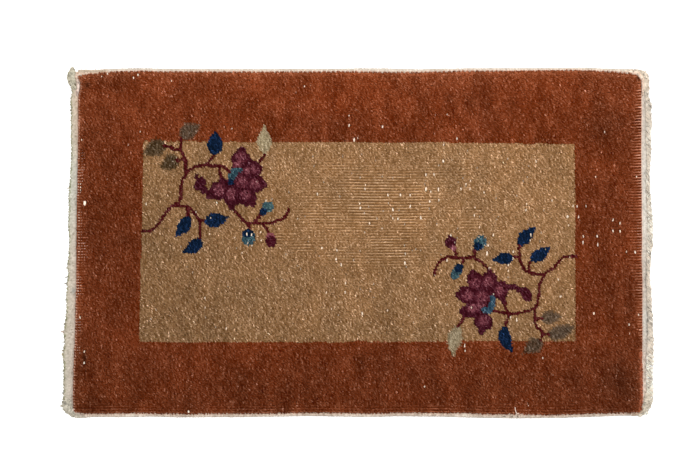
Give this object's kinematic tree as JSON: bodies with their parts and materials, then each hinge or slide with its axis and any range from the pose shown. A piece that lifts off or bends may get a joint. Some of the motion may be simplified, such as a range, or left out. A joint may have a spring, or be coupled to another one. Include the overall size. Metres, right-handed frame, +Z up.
{
  "type": "chinese art deco rug",
  "caption": "Small oblong hand-knotted wool mat with a plain border, a lighter field and flowering sprays, cotton end webs and bound edges, lying flat on a floor.",
  "frame": {"origin": "middle of the underside, on the surface that the mat lies on", "axes": "+X along the length, towards the end with the rolled cotton web; +Y across the width, towards the picture's upper edge; +Z up, out of the pile"},
  "size_m": [1.022, 0.607, 0.0099],
  "materials": {
    "wool_pile": "matte wool pile, worn, rust and camel with dyed flower sprays",
    "web_cotton_left": "matte undyed cotton, ragged",
    "web_cotton_right": "matte undyed cotton, rolled edge",
    "binding_cotton_top": "matte wound cotton yarn",
    "binding_cotton_bottom": "matte wound cotton yarn"
  },
  "bodies": {
    "root": {"knotted_rug": "wool_pile", "end_web_left": "web_cotton_left", "end_web_right": "web_cotton_right", "edge_binding_top": "binding_cotton_top", "edge_binding_bottom": "binding_cotton_bottom"}
  },
  "joints": []
}
